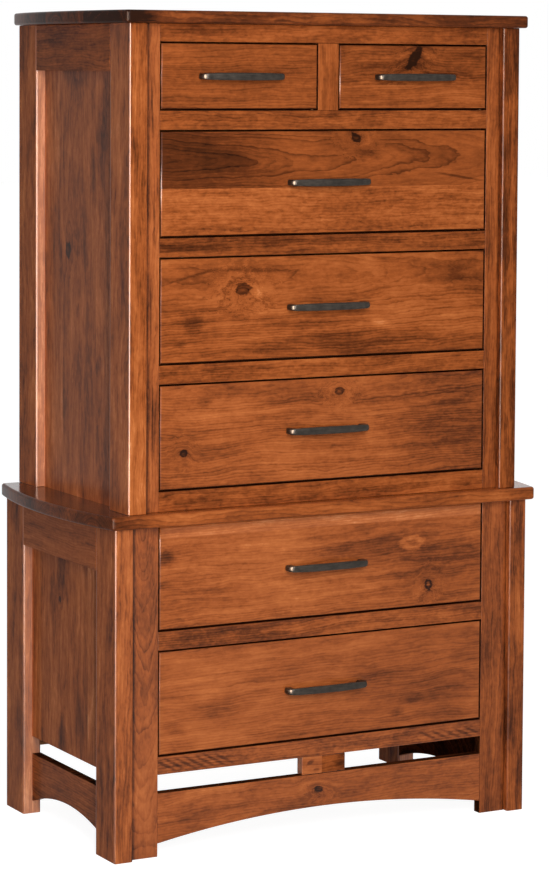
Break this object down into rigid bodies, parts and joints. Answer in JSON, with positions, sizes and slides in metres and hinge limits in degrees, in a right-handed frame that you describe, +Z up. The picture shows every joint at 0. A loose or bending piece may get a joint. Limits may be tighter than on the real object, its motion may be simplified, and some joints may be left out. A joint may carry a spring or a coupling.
{
  "type": "chest on chest",
  "caption": "Tall wooden chest on chest: an upper case of drawers on a wider base with bowed tops, open slots and arched aprons; each drawer slides out on wooden runners.",
  "frame": {"origin": "on the floor, below the middle of the whole chest's box", "axes": "+X to the right as seen from the front, +Y to the back, +Z up; the drawers face -Y"},
  "size_m": [0.998, 0.524, 1.6],
  "materials": {
    "case_wood": "reddish-brown stained cherry-like hardwood under satin lacquer",
    "inner_wood": "stained plywood and secondary wood, thin lacquer",
    "drawer_wood": "pale hardwood, clear satin finish",
    "pull_bronze": "dark bronze, satin"
  },
  "bodies": {
    "carcass": {"base_post_front_left": "case_wood", "base_post_back_left": "case_wood", "base_stile_left": "case_wood", "base_side_rail_left": "case_wood", "base_side_panel_left": "case_wood", "base_post_front_right": "case_wood", "base_post_back_right": "case_wood", "base_stile_right": "case_wood", "base_side_rail_right": "case_wood", "base_side_panel_right": "case_wood", "base_back_panel": "inner_wood", "upper_post_front_left": "case_wood", "upper_post_back_left": "case_wood", "upper_stile_left": "case_wood", "upper_side_rail_left": "case_wood", "upper_side_panel_left": "case_wood", "upper_post_front_right": "case_wood", "upper_post_back_right": "case_wood", "upper_stile_right": "case_wood", "upper_side_rail_right": "case_wood", "upper_side_panel_right": "case_wood", "upper_back_panel": "inner_wood", "base_frame_bottom": "case_wood", "base_frame_middle": "case_wood", "base_apron_front": "case_wood", "base_apron_left": "case_wood", "base_apron_right": "case_wood", "base_back_rail": "inner_wood", "base_spacer": "case_wood", "base_top": "case_wood", "upper_frame_bottom": "case_wood", "upper_frame_lower": "case_wood", "upper_frame_upper": "case_wood", "upper_frame_small": "case_wood", "upper_frame_top": "case_wood", "upper_divider": "case_wood", "upper_centre_guide": "inner_wood", "top_board": "case_wood"},
    "base_drawer_lower": {"base_drawer_lower_front": "case_wood", "base_drawer_lower_box": "drawer_wood", "base_drawer_lower_pull": "pull_bronze"},
    "base_drawer_upper": {"base_drawer_upper_front": "case_wood", "base_drawer_upper_box": "drawer_wood", "base_drawer_upper_pull": "pull_bronze"},
    "wide_drawer_lower": {"wide_drawer_lower_front": "case_wood", "wide_drawer_lower_box": "drawer_wood", "wide_drawer_lower_pull": "pull_bronze"},
    "wide_drawer_middle": {"wide_drawer_middle_front": "case_wood", "wide_drawer_middle_box": "drawer_wood", "wide_drawer_middle_pull": "pull_bronze"},
    "wide_drawer_upper": {"wide_drawer_upper_front": "case_wood", "wide_drawer_upper_box": "drawer_wood", "wide_drawer_upper_pull": "pull_bronze"},
    "small_drawer_left": {"small_drawer_left_front": "case_wood", "small_drawer_left_box": "drawer_wood", "small_drawer_left_pull": "pull_bronze"},
    "small_drawer_right": {"small_drawer_right_front": "case_wood", "small_drawer_right_box": "drawer_wood", "small_drawer_right_pull": "pull_bronze"}
  },
  "joints": [
    {"name": "base_drawer_lower_slide", "type": "slide", "parent": "carcass", "child": "base_drawer_lower", "axis": [0, -1, 0], "range_m": [0, 0.33]},
    {"name": "base_drawer_upper_slide", "type": "slide", "parent": "carcass", "child": "base_drawer_upper", "axis": [0, -1, 0], "range_m": [0, 0.33]},
    {"name": "wide_drawer_lower_slide", "type": "slide", "parent": "carcass", "child": "wide_drawer_lower", "axis": [0, -1, 0], "range_m": [0, 0.33]},
    {"name": "wide_drawer_middle_slide", "type": "slide", "parent": "carcass", "child": "wide_drawer_middle", "axis": [0, -1, 0], "range_m": [0, 0.33]},
    {"name": "wide_drawer_upper_slide", "type": "slide", "parent": "carcass", "child": "wide_drawer_upper", "axis": [0, -1, 0], "range_m": [0, 0.33]},
    {"name": "small_drawer_left_slide", "type": "slide", "parent": "carcass", "child": "small_drawer_left", "axis": [0, -1, 0], "range_m": [0, 0.33]},
    {"name": "small_drawer_right_slide", "type": "slide", "parent": "carcass", "child": "small_drawer_right", "axis": [0, -1, 0], "range_m": [0, 0.33]}
  ]
}
